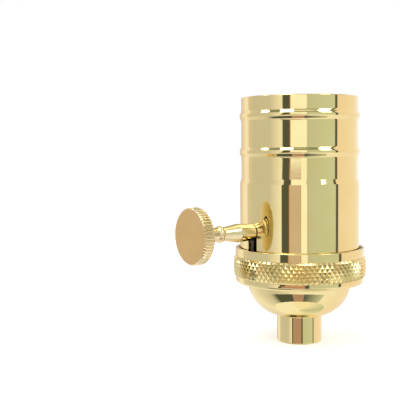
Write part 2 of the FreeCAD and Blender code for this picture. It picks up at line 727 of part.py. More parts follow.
# Key shaft: round where the knob screws on and in its bearing, square in the rotor, thin at its tail
shaft = new_body("key_shaft")
shaft_section = new_sketch(shaft, "shaft_section", "XZ_Plane")
outline(shaft_section, [
    ("-shaft_end", "0"),
    ("-rotor_out", "0"),
    ("-rotor_out", "shaft_r"),
    ("small_edge - shaft_end", "shaft_r"),
    ("-shaft_end", "shaft_r - small_edge"),
])
revolve(shaft, shaft_section, "H_Axis")
drive = new_sketch(shaft, "drive", "YZ_Plane", "-rotor_out")
rectangle(drive, "-drive_half", "-drive_half", "drive_half", "drive_half")
pad(shaft, drive, "rotor_out + drum_half")
tail = new_sketch(shaft, "tail", "YZ_Plane", "drum_half")
circle(tail, "0", "0", "tail_r")
pad(shaft, tail, "well_x + tail_long - drum_half")
shaft.setExpression("Placement.Base.z", bound("key_axis"))

# Switch rotor: drum with a groove for the clip, and a four-sided cam that clicks over the spring
rotor = new_body("switch_rotor")
drum_section = new_sketch(rotor, "drum_section", "XZ_Plane")
outline(drum_section, [
    ("-drum_half", "0"),
    ("drum_half", "0"),
    ("drum_half", "drum_r"),
    ("clip_half + seat_gap", "drum_r"),
    ("clip_half + seat_gap", "drum_r - plate - seat_gap"),
    ("-clip_half - seat_gap", "drum_r - plate - seat_gap"),
    ("-clip_half - seat_gap", "drum_r"),
    ("-drum_half", "drum_r"),
])
revolve(rotor, drum_section, "H_Axis")
cam = new_sketch(rotor, "cam", "YZ_Plane", "-rotor_out")
outline(cam, [
    ("cam_half", "-cam_side"),
    ("cam_half", "cam_side", "cam_r"),
    ("cam_side", "cam_half"),
    ("-cam_side", "cam_half", "cam_r"),
    ("-cam_half", "cam_side"),
    ("-cam_half", "-cam_side", "cam_r"),
    ("-cam_side", "-cam_half"),
    ("cam_side", "-cam_half", "cam_r"),
])
pad(rotor, cam, "cam_long")
square_hole = new_sketch(rotor, "square_hole", "YZ_Plane", "-rotor_out")
rectangle(square_hole, "-drive_hole", "-drive_hole", "drive_hole", "drive_hole")
pocket(rotor, square_hole, "rotor_out + drum_half")
rotor.setExpression("Placement.Base.z", bound("key_axis"))

# Contact bridge: C-shaped clip in the drum's groove, open at the top
bridge = new_body("contact_bridge")
bridge_ring = new_sketch(bridge, "bridge_ring", "YZ_Plane")
circle(bridge_ring, "0", "0", "drum_r")
circle(bridge_ring, "0", "0", "drum_r - plate")
pad(bridge, bridge_ring, "2 * clip_half", both_ways=True)
mouth = new_sketch(bridge, "clip_opening", "YZ_Plane")
outline(mouth, [("0", "0"), ("clip_mouth", "2 * drum_r"), ("-clip_mouth", "2 * drum_r")])
pocket(bridge, mouth, "2 * drum_half", both_ways=True)
bridge.setExpression("Placement.Base.z", bound("key_axis"))

# Click spring: arched leaf on the well's floor, its crown under the cam
spring = new_body("click_spring")
spring_section = new_sketch(spring, "spring_section", "YZ_Plane", "-(drum_half + cam_long / 2)")
outline(spring_section, [
    ("spring_end", "well_floor"),
    ("spring_end", "well_floor + sheet"),
    ("spring_end - spring_foot", "well_floor + sheet"),
    ("spring_crown", "spring_top"),
    ("-spring_crown", "spring_top"),
    ("spring_foot - spring_end", "well_floor + sheet"),
    ("-spring_end", "well_floor + sheet"),
    ("-spring_end", "well_floor"),
    ("spring_foot + sheet / 2 - spring_end", "well_floor"),
    ("sheet / 2 - spring_crown", "spring_top - sheet"),
    ("spring_crown - sheet / 2", "spring_top - sheet"),
    ("spring_end - spring_foot - sheet / 2", "well_floor"),
])
pad(spring, spring_section, "2 * spring_half", both_ways=True)

# Turn knob: stem and fluted disc, turned as one, with a blind hole for the shaft
knob = new_body("turn_knob")
knob_section = new_sketch(knob, "knob_section", "XZ_Plane")
outline(knob_section, [
    ("-stem_end", "shaft_r + seat_gap"),
    ("-stem_end", "stem_end_r"),
    ("-swell_in", "swell_r"),
    ("-swell_out", "swell_r"),
    ("-groove_at", "stem_neck_r"),
    ("stem_bead_half - stem_bead", "stem_neck_r", "stem_bead_arc_r"),
    ("-stem_bead_half - stem_bead", "stem_neck_r"),
    ("-disc_back", "stem_neck_r"),
    ("-disc_back", "disc_r - disc_edge"),
    ("-disc_back - disc_edge", "disc_r"),
    ("disc_edge - disc_face", "disc_r"),
    ("-disc_face", "disc_r - disc_edge"),
    ("-disc_face", "0"),
    ("-shaft_end - drop_gap", "0"),
    ("-shaft_end - drop_gap", "shaft_r + seat_gap"),
])
revolve(knob, knob_section, "H_Axis")
flute = new_sketch(knob, "flute", "YZ_Plane", "-disc_face")
circle(flute, "0", "disc_r + flute_out", "flute_r")
flute_cut = pocket(knob, flute, "disc_face - disc_back")
pattern(knob, flute_cut, "X_Axis", "flute_count")
knob.setExpression("Placement.Base.z", bound("key_axis"))

doc.recompute()
for item in doc.Objects:
    if {"Invalid", "Error"} & set(item.State):
        raise ValueError(item.Name + " failed")
for item in subparts:
    if item.Shape.isNull() or not item.Shape.isValid() or not item.Shape.Solids:
        raise ValueError(item.Label + " has no valid solid")

os.makedirs("parts", exist_ok=True)
for item in subparts:
    item.Shape.exportStep("parts/%s.step" % item.Label)
    box = item.Shape.BoundBox
    print("%-18s %d solid(s) %9.1f mm3  z %5.1f to %5.1f" % (
        item.Label, len(item.Shape.Solids), item.Shape.Volume, box.ZMin, box.ZMax))
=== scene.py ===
# %% [markdown]
# # Turned brass lamp socket with a turn knob
#
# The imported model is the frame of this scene. Each new piece is modelled in metres, in the same
# place as the solid that it stands for, with +Z up the socket and the knob along -X.

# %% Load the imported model
import math
import bpy
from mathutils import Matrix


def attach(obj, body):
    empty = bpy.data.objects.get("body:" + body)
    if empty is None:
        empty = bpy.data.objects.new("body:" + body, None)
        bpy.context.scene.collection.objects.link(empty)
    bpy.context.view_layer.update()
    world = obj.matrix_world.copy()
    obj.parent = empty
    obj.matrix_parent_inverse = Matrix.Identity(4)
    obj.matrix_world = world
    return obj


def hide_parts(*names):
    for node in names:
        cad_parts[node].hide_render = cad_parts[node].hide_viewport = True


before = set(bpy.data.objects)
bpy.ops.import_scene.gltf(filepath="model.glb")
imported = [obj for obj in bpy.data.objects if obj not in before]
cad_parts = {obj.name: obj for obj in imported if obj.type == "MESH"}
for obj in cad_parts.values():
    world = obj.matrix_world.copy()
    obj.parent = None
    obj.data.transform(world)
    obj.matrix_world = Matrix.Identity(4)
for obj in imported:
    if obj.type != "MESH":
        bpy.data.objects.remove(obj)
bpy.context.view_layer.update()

MM = 0.001
TURN = 2 * math.pi
print("the packed model has", len(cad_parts), "nodes")

# %% [markdown]
# ## Camera
#
# The photograph looks at the socket from a little above its middle, with the knob to the left and
# turned towards the viewer. The camera stands quite close, so the rim curves up and the ring
# curves down. Its place was worked out from the socket's known radii and heights.

# %% Camera
PHOTO_SIDE = 400
FOCAL_PIXELS = 803.1
CAMERA_AWAY = 238.2 * MM
CAMERA_HEIGHT = 57.0 * MM
CAMERA_ROUND = math.radians(-40.09)
CAMERA_ASIDE = math.radians(7.024)
CAMERA_DOWN = math.radians(3.628)
CAMERA_ROLL = math.radians(0.482)

bpy.ops.object.camera_add(
    location=(CAMERA_AWAY * math.sin(CAMERA_ROUND), -CAMERA_AWAY * math.cos(CAMERA_ROUND), CAMERA_HEIGHT),
    rotation=(math.pi / 2 - CAMERA_DOWN, CAMERA_ROLL, CAMERA_ROUND + CAMERA_ASIDE))
camera = bpy.context.object
camera.data.sensor_width = 36
camera.data.lens = camera.data.sensor_width * FOCAL_PIXELS / PHOTO_SIDE
camera.data.clip_start = 0.01
bpy.context.scene.camera = camera
bpy.context.scene.view_settings.view_transform = "Standard"
print("camera lens", round(camera.data.lens, 1), "mm")

# %% [markdown]
# ## Studio
#
# Polished brass has no look of its own: it shows what stands round it. So the studio is a white
# floor, a white world, and a round tent of paper that only reflections see. The tent is striped
# from light to dark, each stripe as wide as the band that it gives on the shell. A stripe's place
# is its angle round the socket, in degrees to the right of the camera. Light Path decides who sees
# the white: the eye and the reflections do, and the light on the object stays plain.

# %% Materials for the studio
def plain_material(name):
    """Give an empty node material with its output."""
    material = bpy.data.materials.new(name)
    material.use_nodes = True
    material.node_tree.nodes.clear()
    output = material.node_tree.nodes.new("ShaderNodeOutputMaterial")
    return material, material.node_tree.nodes, material.node_tree.links, output


def seen_directly(nodes, links, least, most):
    """Give a strength that is most for the eye and for reflections, and least for other light."""
    path = nodes.new("ShaderNodeLightPath")
    eye_or_gloss = nodes.new("ShaderNodeMath")
    eye_or_gloss.operation = "MAXIMUM"
    any_of_them = nodes.new("ShaderNodeMath")
    any_of_them.operation = "MAXIMUM"
    strength = nodes.new("ShaderNodeMapRange")
    strength.inputs["To Min"].default_value = least
    strength.inputs["To Max"].default_value = most
    links.new(path.outputs["Is Camera Ray"], eye_or_gloss.inputs[0])
    links.new(path.outputs["Is Glossy Ray"], eye_or_gloss.inputs[1])
    links.new(eye_or_gloss.outputs[0], any_of_them.inputs[0])
    links.new(path.outputs["Is Transmission Ray"], any_of_them.inputs[1])
    links.new(any_of_them.outputs[0], strength.inputs["Value"])
    return strength.outputs[0]


# %% World and floor
WORLD_PLAIN, WORLD_SEEN = 0.72, 1.0
FLOOR_SIDE, FLOOR_TONE, FLOOR_LIFT = 6, 0.88, 0.42

world = bpy.data.worlds.new("white room")
bpy.context.scene.world = world
world.use_nodes = True
sky = world.node_tree.nodes["Background"]
sky.inputs["Color"].default_value = (1, 1, 1, 1)
world.node_tree.links.new(
    seen_directly(world.node_tree.nodes, world.node_tree.links, WORLD_PLAIN, WORLD_SEEN),
    sky.inputs["Strength"])

bpy.ops.mesh.primitive_plane_add(size=FLOOR_SIDE, location=(0, 0, 0))
floor = bpy.context.object
floor.name = "floor"
floor_paper, nodes, links, output = plain_material("floor_paper")
paper = nodes.new("ShaderNodeBsdfDiffuse")
paper.inputs["Color"].default_value = (FLOOR_TONE, FLOOR_TONE, FLOOR_TONE, 1)
lift = nodes.new("ShaderNodeEmission")
both = nodes.new("ShaderNodeAddShader")
links.new(seen_directly(nodes, links, 0.0, FLOOR_LIFT), lift.inputs["Strength"])
links.new(paper.outputs[0], both.inputs[0])
links.new(lift.outputs[0], both.inputs[1])
links.new(both.outputs[0], output.inputs["Surface"])
floor.data.materials.append(floor_paper)
print("the floor and the world are white")

# %% [markdown]
# One colour ramp holds a whole ring of stripes: its position is the angle round the socket, from
# the arctangent of the paper's own coordinates. Two stops to a stripe let it fade from its left
# colour to its right one, and keep its edges sharp.

# %% Striped paper
TOWARDS_CAMERA = math.atan2(-math.cos(CAMERA_ROUND), math.sin(CAMERA_ROUND))


def striped_paper(name, stripes):
    """Make paper that shines in stripes, given as (start, stop, left colour, right colour)."""
    material, nodes, links, output = plain_material(name)
    place = nodes.new("ShaderNodeTexCoord")
    turn = nodes.new("ShaderNodeMapping")
    turn.inputs["Rotation"].default_value = (0, 0, -TOWARDS_CAMERA)
    split = nodes.new("ShaderNodeSeparateXYZ")
    angle = nodes.new("ShaderNodeMath")
    angle.operation = "ARCTAN2"
    share = nodes.new("ShaderNodeMapRange")
    share.inputs["From Min"].default_value = -math.pi
    share.inputs["From Max"].default_value = math.pi
    ramp = nodes.new("ShaderNodeValToRGB")
    glow = nodes.new("ShaderNodeEmission")
    stops = []
    for start, stop, left, right in stripes:
        stops += [((start + 180.1) / 360, left), ((stop + 179.9) / 360, right)]
    for number, (position, colour) in enumerate(stops):
        element = ramp.color_ramp.elements[0] if number == 0 else (
            ramp.color_ramp.elements[-1] if number == len(stops) - 1 else
            ramp.color_ramp.elements.new(position))
        element.position = position
        element.color = (*colour, 1)
    links.new(place.outputs["Object"], turn.inputs["Vector"])
    links.new(turn.outputs[0], split.inputs[0])
    links.new(split.outputs["Y"], angle.inputs[0])
    links.new(split.outputs["X"], angle.inputs[1])
    links.new(angle.outputs[0], share.inputs["Value"])
    links.new(share.outputs[0], ramp.inputs["Fac"])
    links.new(ramp.outputs["Color"], glow.inputs["Color"])
    links.new(glow.outputs[0], output.inputs["Surface"])
    return material


def paper_ring(name, inner, outer, low, high, material):
    """Put a ring of paper round the socket, from one radius and height to another."""
    bpy.ops.mesh.primitive_circle_add(vertices=180, radius=inner, location=(0, 0, 0))
    ring_of_paper = bpy.context.object
    ring_of_paper.name = name
    bpy.ops.object.mode_set(mode="EDIT")
    bpy.ops.mesh.select_all(action="SELECT")
    bpy.ops.transform.translate(value=(0, 0, low))
    bpy.ops.mesh.extrude_region_move(TRANSFORM_OT_translate={"value": (0, 0, high - low)})
    bpy.ops.transform.resize(value=(outer / inner, outer / inner, 1), center_override=(0, 0, 0))
    bpy.ops.object.mode_set(mode="OBJECT")
    ring_of_paper.data.materials.append(material)
    for kind in ("camera", "diffuse", "shadow", "transmission", "volume_scatter"):
        setattr(ring_of_paper, "visible_" + kind, False)


# %% Stripes
WHITE = (1.05, 1.04, 1.0)
PALE = (1.02, 0.98, 0.92)
GREY = (0.66, 0.65, 0.62)
STONE = (0.80, 0.72, 0.64)
DARK = (0.10, 0.11, 0.09)
BRIGHT = (1.10, 1.13, 1.06)
TAN = (0.68, 0.55, 0.49)
RUST = (0.70, 0.36, 0.22)
BROWN = (0.50, 0.32, 0.27)
STRAW = (1.02, 0.98, 0.80)
OLIVE = (0.62, 0.66, 0.56)
SAGE = (0.68, 0.74, 0.62)
WARM = (0.98, 0.83, 0.72)
PEACH = (1.0, 0.9, 0.8)
BACK = (0.52, 0.47, 0.43)
LEFT = [
    (-180, -136, BACK, WARM), (-136, -118, PALE, PALE), (-118, -99, STONE, GREY),
    (-99, -58, GREY, GREY)]
RIGHT = [
    (17, 72.5, OLIVE, SAGE), (72.5, 77.5, DARK, DARK), (77.5, 130, WARM, PEACH),
    (130, 168, PEACH, WHITE), (168, 180, BACK, BACK)]
high_stripes = striped_paper("high_stripes", LEFT + [
    (-58, -32.3, GREY, PALE), (-32.3, -17.5, DARK, DARK), (-17.5, -16.3, RUST, RUST),
    (-16.3, 14.3, BRIGHT, BRIGHT), (14.3, 15.4, RUST, RUST), (15.4, 17, OLIVE, OLIVE)] + RIGHT)
low_stripes = striped_paper("low_stripes", LEFT + [
    (-58, -33.5, GREY, PALE), (-33.5, -19, DARK, DARK), (-19, -17, RUST, RUST),
    (-17, 2.6, TAN, TAN), (2.6, 4.0, RUST, RUST), (4.0, 14.3, BRIGHT, BRIGHT),
    (14.3, 17, RUST, OLIVE)] + RIGHT)
ring_stripes = striped_paper("ring_stripes", LEFT + [
    (-58, -34.5, GREY, PALE), (-34.5, -24, DARK, DARK), (-24, 9.5, RUST, RUST),
    (9.5, 17, DARK, DARK)] + RIGHT)
neck_stripes = striped_paper("neck_stripes", LEFT + [
    (-58, -37, GREY, PALE), (-37, -32, DARK, DARK), (-32, 10.5, BROWN, BROWN),
    (10.5, 17, DARK, DARK)] + RIGHT)
smile_stripes = striped_paper("smile_stripes", [
    (-180, -130, STONE, PALE), (-130, -75, PALE, GREY), (-75, -58, GREY, DARK), (-58, -16, DARK, DARK),
    (-16, 12, BROWN, BROWN), (12, 62, DARK, OLIVE), (62, 180, PALE, WARM)])
foot_stripes = striped_paper("foot_stripes", [
    (-180, -120, STRAW, WHITE), (-120, -20, WHITE, WHITE), (-20, 40, STRAW, STRAW),
    (40, 120, STRAW, OLIVE), (120, 180, OLIVE, STRAW)])
pale_paper = striped_paper("pale_paper", [
    (-180, -150, STONE, PALE), (-150, -60, PALE, GREY), (-60, 0, GREY, WHITE), (0, 70, WHITE, PALE),
    (70, 180, PALE, WARM)])

# %% [markdown]
# The tent's paper goes on below the floor, which no reflection sees. So what a surface shows
# depends only on which way it leans: upright walls show the paper at eye level, the beads' lower
# slopes and the dome show the paper deep down.

# %% Tent
floor.visible_glossy = False
TENT_R, TENT_DEEP, TENT_HIGH, EAVES_HIGH = 0.9, -0.7, 0.72, 0.98
SMILE_HIGH, SMILE_R = -0.57, 0.46
NECK_FROM, RING_FROM, LOW_FROM, WALL_FROM = -0.24, -0.16, -0.116, 0.027
TENT_EYE = 0.001
EAVES_DARK, EAVES_PALE = (0.24, 0.26, 0.17), (0.30, 0.32, 0.24)
ROOF_DARK, ROOF_PALE = (0.84, 0.80, 0.62), (0.92, 0.86, 0.66)

paper_ring("tent_foot", TENT_EYE, SMILE_R, TENT_DEEP, TENT_DEEP, foot_stripes)
paper_ring("tent_smile", SMILE_R, TENT_R, TENT_DEEP, TENT_DEEP, smile_stripes)
for name, low, high, material in (
        ("tent_smile_edge", TENT_DEEP, SMILE_HIGH, smile_stripes),
        ("tent_pale", SMILE_HIGH, NECK_FROM, pale_paper),
        ("tent_neck", NECK_FROM, RING_FROM, neck_stripes),
        ("tent_ring", RING_FROM, LOW_FROM, ring_stripes),
        ("tent_low", LOW_FROM, WALL_FROM, low_stripes),
        ("tent_wall", WALL_FROM, TENT_HIGH, high_stripes)):
    paper_ring(name, TENT_R, TENT_R, low, high, material)
eaves = striped_paper("eaves_paper", [(-180, 0, EAVES_DARK, EAVES_PALE), (0, 180, EAVES_PALE, EAVES_DARK)])
roof = striped_paper("roof_paper", [(-180, 0, ROOF_DARK, ROOF_PALE), (0, 180, ROOF_PALE, ROOF_DARK)])
paper_ring("tent_eaves", TENT_R, TENT_R, TENT_HIGH, EAVES_HIGH, eaves)
paper_ring("tent_roof", TENT_EYE, TENT_R, EAVES_HIGH, EAVES_HIGH, roof)
print("the tent is", TENT_R, "m round the socket")

# %% Soft lamps overhead
LAMP_AWAY, LAMP_AIM, LAMP_RADIANCE = 0.8, 0.05, 3.0


def soft_lamp(name, side, round_angle, up_angle):
    """Hang a square soft lamp at an angle round the socket and an angle up, shining at its middle."""
    turn = TOWARDS_CAMERA + math.radians(round_angle)
    up = math.radians(up_angle)
    out = LAMP_AWAY * math.cos(up)
    high = LAMP_AIM + LAMP_AWAY * math.sin(up)
    bpy.ops.object.light_add(
        type="AREA", location=(out * math.cos(turn), out * math.sin(turn), high),
        rotation=(math.pi / 2 - up, 0, turn + math.pi / 2))
    lamp = bpy.context.object
    lamp.name = name
    lamp.data.shape = "SQUARE"
    lamp.data.size = side
    lamp.data.energy = LAMP_RADIANCE * math.pi * side ** 2


soft_lamp("lamp_left", 0.20, -78, 39)
soft_lamp("lamp_front", 0.30, -28, 48)
soft_lamp("lamp_right", 0.28, 57, 38.5)
soft_lamp("lamp_top", 0.30, -55, 64)
print("four soft lamps hang inside the tent")

# %% [markdown]
# ## Turned pieces
#
# Nearly everything here is turned on a lathe. A turned piece starts as one point, which is
# extruded along half of the piece's section, corner by corner, and is then spun once round its
# axis. The section's corners are rounded first, because a real edge always catches a little light.
# Weighted normals then keep the long plain faces straight in the mirror of the polish.

# %% Rounded sections
def rounded(corners, parts=4):
    """Give a section's points with each corner rounded by its own radius, as (across, up, radius)."""
    points = []
    count = len(corners)
    for number, (across, up, radius) in enumerate(corners):
        if not radius:
            points.append((across, up))
            continue
        before = corners[number - 1]
        after = corners[(number + 1) % count]
        ways = []
        for other in (before, after):
            step = (other[0] - across, other[1] - up)
            long = math.hypot(*step)
            ways.append((step[0] / long, step[1] / long))
        cosine = ways[0][0] * ways[1][0] + ways[0][1] * ways[1][1]
        half = math.acos(max(-1, min(1, cosine))) / 2
        back = radius / math.tan(half)
        middle = radius / math.sin(half)
        aim = (ways[0][0] + ways[1][0], ways[0][1] + ways[1][1])
        long = math.hypot(*aim)
        centre = (across + aim[0] / long * middle, up + aim[1] / long * middle)
        first = (across + ways[0][0] * back - centre[0], up + ways[0][1] * back - centre[1])
        last = (across + ways[1][0] * back - centre[0], up + ways[1][1] * back - centre[1])
        start = math.atan2(first[1], first[0])
        swing = math.atan2(last[1], last[0]) - start
        swing = (swing + math.pi) % TURN - math.pi
        for part in range(parts + 1):
            angle = start + swing * part / parts
            points.append((centre[0] + radius * math.cos(angle), centre[1] + radius * math.sin(angle)))
    return points


def arc(across, up, radius, start, stop, parts):
    """Give points on an arc round a centre, from one angle in degrees to another."""
    angles = [math.radians(start + (stop - start) * part / parts) for part in range(parts + 1)]
    return [(across + radius * math.cos(angle), up + radius * math.sin(angle)) for angle in angles]


# %% Spinning a section
def deselect():
    """Leave nothing selected, in object mode."""
    if bpy.context.object and bpy.context.object.mode == "EDIT":
        bpy.ops.object.mode_set(mode="OBJECT")
    bpy.ops.object.select_all(action="DESELECT")


def start_piece(name):
    """Start a mesh at the origin as a single point, in edit mode."""
    deselect()
    bpy.ops.mesh.primitive_plane_add(size=MM, location=(0, 0, 0))
    piece = bpy.context.object
    piece.name = name
    bpy.ops.object.mode_set(mode="EDIT")
    bpy.ops.mesh.select_mode(type="VERT")
    bpy.ops.mesh.select_all(action="SELECT")
    bpy.ops.mesh.merge(type="CENTER")
    return piece


def draw(places):
    """Move the selected point to the first place and extrude it through the others, in millimetres."""
    bpy.ops.transform.translate(value=[number * MM for number in places[0]])
    for here, there in zip(places, places[1:]):
        step = [(b - a) * MM for a, b in zip(here, there)]
        bpy.ops.mesh.extrude_region_move(TRANSFORM_OT_translate={"value": step})


def tidy_faces():
    """Merge what lies on one spot and point all faces outwards."""
    bpy.ops.mesh.select_all(action="SELECT")
    bpy.ops.mesh.remove_doubles(threshold=0.001 * MM)
    bpy.ops.mesh.normals_make_consistent(inside=False)


def finish_piece(piece, smooth_angle):
    """Leave edit mode with soft shading over gentle angles, in which large faces stay flat."""
    bpy.ops.object.mode_set(mode="OBJECT")
    deselect()
    piece.select_set(True)
    bpy.context.view_layer.objects.active = piece
    bpy.ops.object.shade_smooth_by_angle(angle=math.radians(smooth_angle))
    weighted = piece.modifiers.new("weighted", "WEIGHTED_NORMAL")
    weighted.keep_sharp = True
    bpy.ops.object.modifier_apply(modifier=weighted.name)
    print(piece.name, "has", len(piece.data.polygons), "faces")


def turned(name, section, steps, upright=True, height=0.0):
    """Spin a closed section round the Z axis, or round the knob's axis at the given height."""
    closed = section + section[:1]
    if upright:
        places = [(across, 0, up) for across, up in closed]
    else:
        places = [(-across, 0, height + up) for across, up in closed]
    piece = start_piece(name)
    draw(places)
    bpy.ops.mesh.select_all(action="SELECT")
    bpy.ops.mesh.spin(steps=steps, angle=TURN, center=(0, 0, 0 if upright else height * MM),
                      axis=(0, 0, 1) if upright else (1, 0, 0))
    tidy_faces()
    return piece


# %% [markdown]
# ## Sizes
#
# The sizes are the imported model's, in millimetres, but for a few: the shell's sheet is thinner,
# the disc is thicker, the stem's inner end is wider, and the knurl is a hair smaller, so that its
# random points stay inside the model's box. They are written here again, because the sections
# need more of them than the corners of the solids give.

# %% Sizes
KEY_Z = 33.4
NECK_R, NIPPLE_R, NIPPLE_BORE, NIPPLE_ROOT = 6.6, 4.6, 0.35, 0.38
DOME_R, DOME_ARC, DOME_TOP, CAP_WALL = 15.25, 10.95, 18.6, 1.15
FLANGE_R, FLANGE_LOW, FLANGE_TOP = 17.1, 19.1, 20.6
RING_LOW, RING_FLOOR, RING_TOP = 17.6, 1.45, 28.05
KNURL_LOW, KNURL_TOP = 19.6, 25.6
BAND_R, LIP_R, KNURL_R, CHANNEL_R = 18.75, 18.85, 19.46, 18.32
LIP_GAP, LIP_DEEP, FOOT_GAP, CAP_GAP = 0.48, 1.8, 0.05, 0.1
SHELL_R, FOOT_R, SHELL_SHEET = 16.95, 17.4, 0.5
STEP_LOW, STEP_TALL = 47.0, 1.4
BEADS = (56.0, 66.4)
BEAD_HALF, BEAD_RISE = 1.75, 0.5
SHELL_TOP = 71.8
SLOT_HALF, SLOT_DEEP, SLOT_DOWN = 2.05, 8, 20

# %% [markdown]
# ## Shell
#
# The shell is a turned tube with two raised beads and a step. In profile a bead is a soft wave,
# so it is drawn as one, with hollow feet that run out into the tube. The key slot is cut
# afterwards with a boolean. Its new corners would shade a little wrong on such a bright surface,
# so the smooth normals of the uncut tube are copied back.

# %% Shell
def bead(middle):
    """Give the points of a bead from its foot to its head."""
    parts = 16
    points = []
    for part in range(parts + 1):
        along = 2 * part / parts - 1
        swell = 0.5 * (1 + math.cos(math.pi * along))
        points.append((SHELL_R + BEAD_RISE * swell, middle + BEAD_HALF * along))
    return points


def shell_section():
    """Give the shell's closed section, outside upwards and inside down."""
    outside = rounded([
        (SHELL_R - SHELL_SHEET, STEP_LOW + STEP_TALL, 0),
        (FOOT_R - SHELL_SHEET, STEP_LOW, 0),
        (FOOT_R - SHELL_SHEET, FLANGE_TOP, 0.12),
        (FOOT_R, FLANGE_TOP, 0.15),
        (FOOT_R, STEP_LOW, 0.5),
        (SHELL_R, STEP_LOW + STEP_TALL, 0.5),
        (SHELL_R, BEADS[0] - BEAD_HALF, 0),
    ])[:-1]
    rim = rounded([
        (SHELL_R, BEADS[1] + BEAD_HALF, 0),
        (SHELL_R, SHELL_TOP, 0.25),
        (SHELL_R - SHELL_SHEET, SHELL_TOP, 0.12),
        (SHELL_R - SHELL_SHEET, STEP_LOW + STEP_TALL, 0),
    ])[1:-1]
    return outside + bead(BEADS[0]) + bead(BEADS[1]) + rim


shell = turned("shell_turned", shell_section(), steps=224)
finish_piece(shell, 40)

# %% [markdown]
# The slot's cutter is a block with a half-round top, which is a cylinder's upper half extruded
# down. It reaches through one wall only.

# %% Key slot
def slot_cutter():
    """Make the block that cuts the key slot, with its round end up."""
    deselect()
    bpy.ops.mesh.primitive_cylinder_add(
        vertices=64, radius=SLOT_HALF * MM, depth=SLOT_DEEP * MM, location=(-FOOT_R * MM, 0, KEY_Z * MM),
        rotation=(0, math.pi / 2, 0))
    cutter = bpy.context.object
    bpy.ops.object.transform_apply(location=True, rotation=True, scale=True)
    bpy.ops.object.mode_set(mode="EDIT")
    bpy.ops.mesh.select_all(action="SELECT")
    bpy.ops.mesh.bisect(plane_co=(0, 0, KEY_Z * MM), plane_no=(0, 0, 1), clear_inner=True, use_fill=True)
    bpy.ops.mesh.extrude_region_move(TRANSFORM_OT_translate={"value": (0, 0, -SLOT_DOWN * MM)})
    tidy_faces()
    bpy.ops.object.mode_set(mode="OBJECT")
    return cutter


def cut_slot(piece):
    """Cut the key slot into a piece and keep the shading of the uncut piece."""
    whole = piece.copy()
    whole.data = piece.data.copy()
    bpy.context.scene.collection.objects.link(whole)
    cutter = slot_cutter()
    deselect()
    piece.select_set(True)
    bpy.context.view_layer.objects.active = piece
    cut = piece.modifiers.new("slot", "BOOLEAN")
    cut.operation = "DIFFERENCE"
    cut.object = cutter
    bpy.ops.object.modifier_apply(modifier=cut.name)
    shading = piece.modifiers.new("shading", "DATA_TRANSFER")
    shading.object = whole
    shading.use_loop_data = True
    shading.data_types_loops = {"CUSTOM_NORMAL"}
    shading.loop_mapping = "POLYINTERP_NEAREST"
    shading.use_max_distance = True
    shading.max_distance = 0.02 * MM
    bpy.ops.object.modifier_apply(modifier=shading.name)
    bpy.data.objects.remove(cutter)
    bpy.data.objects.remove(whole)


cut_slot(shell)
print("the shell has its key slot,", len(shell.data.polygons), "faces")

# %% [markdown]
# ## Cap
#
# The cap is the neck with the dome on it. The dome's section is one arc that meets the neck in a
# crisp hollow corner. Inside the neck is the thread for the lamp's nipple.

# %% Cap
def cap_section():
    """Give the cap's closed section: neck, dome, flange, and the inside back down."""
    dome_centre = DOME_R - DOME_ARC
    joint = math.degrees(math.asin((NECK_R - dome_centre) / DOME_ARC))
    inner_arc = DOME_ARC - CAP_WALL
    inner_joint = math.degrees(math.asin((NIPPLE_R + NIPPLE_BORE - dome_centre) / inner_arc))
    outside = arc(dome_centre, DOME_TOP, DOME_ARC, joint - 90, 0, 40)
    foot = rounded([(NIPPLE_R + NIPPLE_BORE, 0, 0.2), (NECK_R, 0, 0.4), (*outside[0], 0)])[:-1]
    flange = rounded([
        (DOME_R, FLANGE_LOW, 0),
        (FLANGE_R, FLANGE_LOW, 0.15),
        (FLANGE_R, FLANGE_TOP, 0.15),
        (DOME_R - CAP_WALL, FLANGE_TOP, 0.15),
        (DOME_R - CAP_WALL, DOME_TOP, 0),
    ])[:-1]
    inside = arc(dome_centre, DOME_TOP, inner_arc, 0, inner_joint - 90, 24)
    return foot + outside + flange + inside


cap = turned("cap_turned", cap_section(), steps=192)
finish_piece(cap, 30)

# %% [markdown]
# ## Nipple thread
#
# A thread is one small tooth that climbs as it goes round. The Screw modifier does just that with
# a tooth's outline. It lies in the neck's bore, where the cap's wall was left a little thinner.

# %% Nipple thread
NIPPLE_PITCH = 25.4 / 27
NIPPLE_LOW, NIPPLE_TURNS = 0.9, 8
ONE_SPOT = 0.0004


def thread_ridge(name, root_r, crest_r, pitch, low, turns, steps):
    """Wind a tooth of a thread round the Z axis, from its lower end up."""
    middle = (root_r + crest_r) / 2
    half_root, half_crest = pitch * 0.48, pitch * 0.06
    tooth = [
        (root_r, 0, low - half_root),
        (crest_r, 0, low - half_crest),
        (crest_r, 0, low + half_crest),
        (root_r, 0, low + half_root),
        (root_r + (root_r - middle), 0, low),
    ]
    piece = start_piece(name)
    draw(tooth + tooth[:1])
    bpy.ops.mesh.select_all(action="SELECT")
    bpy.ops.mesh.remove_doubles(threshold=ONE_SPOT * MM)
    bpy.ops.object.mode_set(mode="OBJECT")
    wind = piece.modifiers.new("wind", "SCREW")
    wind.axis = "Z"
    wind.angle = TURN
    wind.screw_offset = pitch * MM
    wind.iterations = turns
    wind.steps = steps
    wind.render_steps = steps
    wind.use_merge_vertices = False
    bpy.ops.object.modifier_apply(modifier=wind.name)
    bpy.ops.object.mode_set(mode="EDIT")
    bpy.ops.mesh.select_all(action="SELECT")
    bpy.ops.mesh.remove_doubles(threshold=ONE_SPOT * MM)
    bpy.ops.mesh.select_all(action="DESELECT")
    bpy.ops.mesh.select_non_manifold()
    bpy.ops.mesh.edge_face_add()
    tidy_faces()
    return piece


nipple_thread = thread_ridge(
    "nipple_thread", NIPPLE_R + NIPPLE_ROOT, NIPPLE_R, NIPPLE_PITCH, NIPPLE_LOW, NIPPLE_TURNS, steps=64)
finish_piece(nipple_thread, 30)

